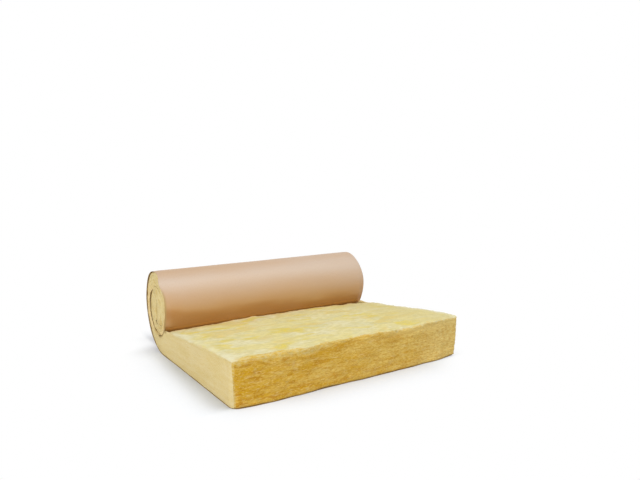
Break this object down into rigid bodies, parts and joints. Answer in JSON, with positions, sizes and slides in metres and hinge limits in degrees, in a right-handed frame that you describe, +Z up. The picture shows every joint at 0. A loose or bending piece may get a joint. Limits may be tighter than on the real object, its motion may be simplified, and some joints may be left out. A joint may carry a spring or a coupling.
{
  "type": "insulation roll",
  "caption": "Kraft-faced glass wool insulation roll, partly unrolled: a thick yellow blanket lies flat and winds up into a sagging roll with its paper facing outside.",
  "frame": {"origin": "centre of the overall box, at floor level", "axes": "+X across the blanket's width, along the roll's axis; +Y from the cut end towards the roll; +Z up"},
  "size_m": [1.2, 1.0544, 0.4097],
  "materials": {
    "glass_wool": "matt yellow glass fibre wool, laminar on its cut edges",
    "kraft_paper": "smooth tan kraft paper with a soft sheen"
  },
  "bodies": {
    "root": {"glass_wool_blanket": "glass_wool", "kraft_facing": "kraft_paper"}
  },
  "joints": []
}
